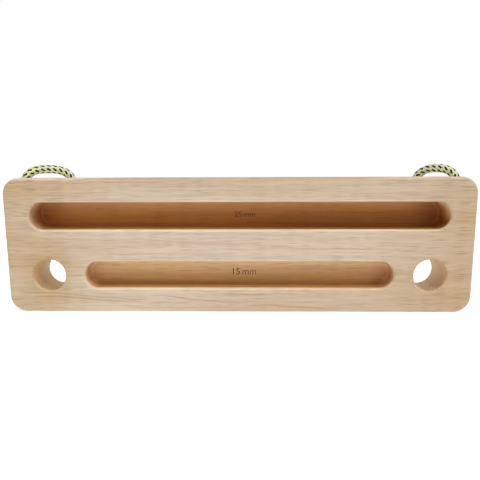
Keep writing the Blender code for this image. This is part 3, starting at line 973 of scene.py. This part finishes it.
def makeGrainGroup():  # the figure of the wood, for the board and for what is burnt into it
    tree, given, result = startGroup(
        "woodGrain", [("Place", "NodeSocketVector")],
        [(name, "NodeSocketFloat") for name in ("Figure", "Bands", "Fibre", "Pores")],
    )
    place = given.outputs["Place"]
    wander = minus(tree, noise(tree, place, (5, 22, 22)), 0.5)
    shift = addNode(tree, "ShaderNodeCombineXYZ")
    feed(tree, shift.inputs[2], times(tree, wander, 0.006))
    moved = addNode(tree, "ShaderNodeVectorMath", operation="ADD")
    feed(tree, moved.inputs[0], place)
    feed(tree, moved.inputs[1], shift.outputs[0])
    wavy = moved.outputs[0]
    figure = noise(tree, wavy, (3, 40, 48), move=(1.3, 0, 0))
    bands = noise(tree, wavy, (5.5, 170, 190), move=(0.4, 2, 0))
    coarse = noise(tree, wavy, (17, 520, 520), 3.0, 0.6, (3.1, 0, 0))
    fine = noise(tree, wavy, (50, 1700, 1700), move=(7.7, 0, 0))
    fibre = calc(tree, "MULTIPLY_ADD", coarse, 0.6, times(tree, fine, 0.4))
    clusters = noise(tree, wavy, (9, 70, 70), 1.0, 0.5, (0, 5.3, 0))
    layers = []
    for scale, threshold, offset in (((42, 1250, 1250), 0.45, 0.0), ((70, 1600, 1600), 0.6, 4.4)):
        cells = addNode(tree, "ShaderNodeTexVoronoi")
        feedAll(tree, cells, {"Vector": stretched(tree, wavy, scale, (offset,) * 3), "Scale": 1.0})
        dash = remap(tree, cells.outputs["Distance"], 0.22, 0.46, 1.0, 0.0)
        chosen = addNode(tree, "ShaderNodeSeparateColor")
        feed(tree, chosen.inputs[0], cells.outputs["Color"])
        share = calc(tree, "ADD", chosen.outputs[0], times(tree, clusters, 0.9))
        some = remap(tree, share, threshold + 0.45, threshold + 0.75)
        layers.append(times(tree, dash, some))
    pores = calc(tree, "MAXIMUM", *layers)
    feedAll(tree, result, {"Figure": figure, "Bands": bands, "Fibre": fibre, "Pores": pores})
    return tree


def grainOn(tree, group):
    place = placeOnObject(tree)
    node = addNode(tree, "ShaderNodeGroup", node_tree=group)
    feed(tree, node.inputs["Place"], place)
    return splitVector(tree, place), node.outputs


def tinted(tree, color, share, tint):
    return blendColors(tree, share, color, blendColors(tree, 1.0, color, tint, "MULTIPLY"))


def hypotenuse(tree, a, b):
    return calc(tree, "SQRT", calc(tree, "MULTIPLY_ADD", a, a, times(tree, b, b)))


def fromSlotAxis(tree, x, z, slot):  # distance from the line between the slot's two round ends
    reach = slotHalf(slot) - boardShape["slotHeight"] / 2
    overX = calc(tree, "MAXIMUM", minus(tree, calc(tree, "ABSOLUTE", x), reach), 0.0)
    return hypotenuse(tree, overX, minus(tree, z, slot["centreZ"]))


def fromHoleAxis(tree, x, z):
    overX = minus(tree, calc(tree, "ABSOLUTE", x), boardHigh.x - boardShape["holeFromEnd"])
    return hypotenuse(tree, overX, minus(tree, z, boardShape["holeZ"]))


def shadeSlot(tree, color, place, slot, shades):  # painted highlight on the lips over their paler sanded wood, and painted shade on the walls, darker with depth
    x, y, z = place
    tall, lip = boardShape["slotHeight"] / 2, boardShape["slotLip"]
    half, backY = slotHalf(slot), boardLow.y + slot["depth"]
    sideways = calc(tree, "ABSOLUTE", x)
    away = fromSlotAxis(tree, x, z, slot)
    above = minus(tree, z, slot["centreZ"])
    onFront = calc(tree, "LESS_THAN", y, boardLow.y + 1.2 * lip)
    # Painted highlight on the lips, over a little paler sanded wood all round: strongest on the lower lips,
    # which face up to the lamp, weaker on the ends.
    lower = remap(tree, above, -0.1 * tall, -0.6 * tall)
    rim = remap(tree, away, tall + 1.0 * lip, tall + 0.6 * lip)
    paler = remap(tree, lower, 0.0, 1.0, 0.35, 1.0, False)
    onSide = remap(tree, sideways, half - tall, half - 0.5 * tall)
    onSide = times(tree, onSide, remap(tree, lower, 0.0, 1.0, 1.0, 0.45, False))
    lipShare = times(tree, rim, onFront, paler, minus(tree, 1.0, onSide))
    color = tinted(tree, color, lipShare, shades["lip"])
    # Painted shade under the upper lip.
    under = remap(tree, away, tall + 0.5 * lip, tall + 0.1 * lip)
    upper = remap(tree, above, 0.6 * tall, 0.95 * tall)
    color = tinted(tree, color, times(tree, under, onFront, upper), shades["paintedUnderLipShade"])
    # Painted shade inside the slot: the walls lighter at the top, darker towards the bottom and further in,
    # with the floor's own shade.
    inside = calc(tree, "LESS_THAN", away, tall + 0.0002)
    inside = times(tree, inside, calc(tree, "LESS_THAN", y, backY + 0.001))
    fromBack = calc(tree, "ABSOLUTE", minus(tree, backY, y))
    lowest, highest = shades["rise"]
    rise = remap(tree, above, lowest * tall, highest * tall)
    wall = blendColors(tree, rise, shades["paintedWallBottomShade"], shades["paintedWallTopShade"])
    onFloor = times(tree, lower, remap(tree, away, tall - 0.0022, tall - 0.0008))
    wall = blendColors(tree, onFloor, wall, shades["floor"])
    # Painted light and shade on the round end walls: paler by the mouth, darker further in and low down,
    # most on the right, lighter high on the right.
    inwards = remap(tree, y, boardLow.y + lip, boardLow.y + 0.75 * slot["depth"])
    endWall = blendColors(tree, inwards, shades["paintedEndRim"], shades["paintedEndDeepShade"])
    bend = remap(tree, sideways, half - tall, half - 0.4 * tall)
    onEndWall = times(tree, bend, remap(tree, fromBack, 0.0, 0.008))
    onRight = remap(tree, x, -0.05, 0.05)
    low = times(tree, remap(tree, above, 0.0, -0.6 * tall), remap(tree, onRight, 0.0, 1.0, 0.3, 1.0))
    endWall = tinted(tree, endWall, low, shades["paintedEndLowShade"])
    highRight = times(tree, onRight, remap(tree, above, -0.4 * tall, 0.3 * tall))
    endWall = tinted(tree, endWall, highRight, shades["paintedEndHighRightLight"])
    wall = blendColors(tree, onEndWall, wall, endWall)
    deep = remap(tree, y, boardLow.y + 0.6 * lip, boardLow.y + 0.6 * slot["depth"])
    nearMouth = remap(tree, y, boardLow.y + 0.4 * lip, boardLow.y + 1.6 * lip)
    deep = calc(tree, "MAXIMUM", deep, calc(tree, "MAXIMUM", onEndWall, times(tree, onFloor, nearMouth)))
    color = tinted(tree, color, times(tree, inside, deep), wall)
    # Painted shade in the corner between the back wall and the floor.
    corner = calc(tree, "ADD", fromBack, calc(tree, "ADD", above, tall))
    color = tinted(tree, color, times(tree, inside, remap(tree, corner, 0.005, 0.001)), shades["corner"])
    # Painted shade on the back wall near the round ends.
    onBack = remap(tree, fromBack, 0.006, 0.001)
    nearEnd = remap(tree, sideways, half - 2.6 * tall, half - 0.8 * tall)
    color = tinted(tree, color, times(tree, inside, onBack, nearEnd), shades["ends"])
    # Painted shade towards the right, most low down.
    shaded = times(tree, remap(tree, x, -0.06, 0.13), remap(tree, rise, 0.0, 1.0, 1.0, 0.1, False))
    return tinted(tree, color, times(tree, inside, deep, shaded), shades["right"])


def shadeHoles(tree, color, x, y, z):
    radius = boardShape["holeRadius"]
    away = fromHoleAxis(tree, x, z)
    above = minus(tree, z, boardShape["holeZ"])
    lower = remap(tree, above, 0.2 * radius, -0.7 * radius)
    # Painted highlight on the lower rim, which faces up to the lamp.
    rim = remap(tree, away, radius + 0.0022, radius + 0.001)
    onFront = calc(tree, "LESS_THAN", y, boardLow.y + boardShape["holeLip"])
    color = tinted(tree, color, times(tree, rim, onFront, lower), wood["holeLip"])
    # Painted shade on the upper rim.
    higher = minus(tree, 1.0, lower)
    edge = remap(tree, away, radius + 0.0024, radius + 0.0008)
    color = tinted(tree, color, times(tree, edge, onFront, higher), wood["paintedHoleEdgeShade"])
    # Painted light and shade on the wall: paler towards the back, where light comes through the hole,
    # darker low at the front.
    wall = remap(tree, away, radius + 0.0008, radius + 0.0001)
    front = blendColors(tree, lower, wood["paintedHoleFront"], wood["holeLow"])
    inwards = remap(tree, y, boardLow.y + 0.004, boardHigh.y - 0.006)
    paintedHoleWall = blendColors(tree, inwards, front, wood["paintedHoleBackLight"])
    return tinted(tree, color, wall, paintedHoleWall)


def growthLine(tree, x, z, points):  # 1 on a line drawn along the board, 0 away from it
    curve = addNode(tree, "ShaderNodeFloatCurve")
    line = curve.mapping.curves[0]
    reach, height = wood["lineReach"], wood["lineHeight"]
    scaled = [((px + reach) / (2 * reach), pz / height) for px, pz in points]
    line.points[0].location = scaled[0]
    line.points[1].location = scaled[-1]
    for spot in scaled[1:-1]:
        line.points.new(*spot)
    curve.mapping.update()
    feed(tree, curve.inputs["Value"], remap(tree, x, -reach, reach, smooth=False))
    off = calc(tree, "ABSOLUTE", calc(tree, "MULTIPLY_ADD", curve.outputs[0], -height, z))
    near = remap(tree, off, wood["lineWidth"], 0.15 * wood["lineWidth"])
    out, back = wood["lineFade"]
    begin = remap(tree, x, points[0][0] + out, points[0][0] + back)
    end = remap(tree, x, points[-1][0] - out, points[-1][0] - back)
    return times(tree, near, begin, end)


def makeWoodMaterial(group):
    material, tree, shader = newMaterial("paleHardwood")
    (x, y, z), grain = grainOn(tree, group)
    sideways = calc(tree, "ABSOLUTE", x)
    ends = remap(tree, sideways, *wood["tanFrom"], 0.0, 0.7)
    tanShare = calc(tree, "ADD", ends, remap(tree, grain["Figure"], 0.4, 0.75, 0.0, 0.5), clamp=True)
    color = blendColors(tree, tanShare, wood["pale"], wood["tan"])
    color = blendColors(tree, remap(tree, grain["Bands"], 0.48, 0.72, 0.0, 0.55), color, wood["pinkish"])
    color = scaledColor(tree, color, remap(tree, grain["Fibre"], 0.3, 0.7, 0.9, 1.08))
    uneven = remap(tree, grain["Fibre"], 0.35, 0.65, 0.35, 1.0)
    for points in wood["growthLines"]:
        color = tinted(tree, color, times(tree, growthLine(tree, x, z, points), uneven), wood["lineShade"])
    # Painted shade towards the right, where the lamp lights the face more.
    color = tinted(tree, color, remap(tree, x, *wood["rightFrom"]), wood["paintedRightShade"])
    fromCorner = fromHoleAxis(tree, calc(tree, "MINIMUM", x, 0.0), z)
    color = tinted(tree, color, remap(tree, fromCorner, *wood["cornerFrom"]), wood["leftCorner"])
    leftwards, low = wood["lowLeftFrom"]
    lowLeft = times(tree, remap(tree, x, *leftwards), remap(tree, z, *low))
    color = tinted(tree, color, lowLeft, wood["lowLeft"])
    # Painted shade on the top edge's round, and a painted highlight on it near the ends.
    topEdge = remap(tree, z, *(boardHigh.z - below for below in wood["topEdgeBelow"]))
    atEnds = remap(tree, sideways, *wood["topEdgeEndsFrom"])
    paintedTopEdgeTint = blendColors(tree, atEnds, wood["topEdge"], wood["topEdgeEndHighlight"])
    color = tinted(tree, color, topEdge, paintedTopEdgeTint)
    poreShare = remap(tree, sideways, *wood["endPoresFrom"], wood["pores"], wood["endPores"])
    color = blendColors(tree, times(tree, grain["Pores"], poreShare), color, wood["poreShade"])
    # Painted light and shade in the slots.
    for name, slot in boardShape["slots"].items():
        color = shadeSlot(tree, color, (x, y, z), slot, wood["slots"][name])
    feedAll(tree, shader, {
        "Base Color": shadeHoles(tree, color, x, y, z),
        "Roughness": remap(tree, grain["Fibre"], 0.3, 0.7, *wood["roughness"]),
        "Specular IOR Level": wood["specular"],
    })
    height = calc(tree, "MULTIPLY_ADD", grain["Pores"], -1.0, times(tree, grain["Fibre"], 0.6))
    addBump(tree, shader, height, *wood["bump"])
    return material


def makeBurntMaterial(group):
    material, tree, shader = newMaterial("burntMark")
    grain = grainOn(tree, group)[1]
    color = blendColors(tree, remap(tree, grain["Fibre"], 0.3, 0.7), *depthMarks["burnt"])
    feedAll(tree, shader, {"Base Color": color, "Roughness": depthMarks["roughness"]})
    return material


grainGroup = makeGrainGroup()
board = makeBoard(makeWoodMaterial(grainGroup), makeBurntMaterial(grainGroup))
print("board made,", len(board.data.polygons), "faces")
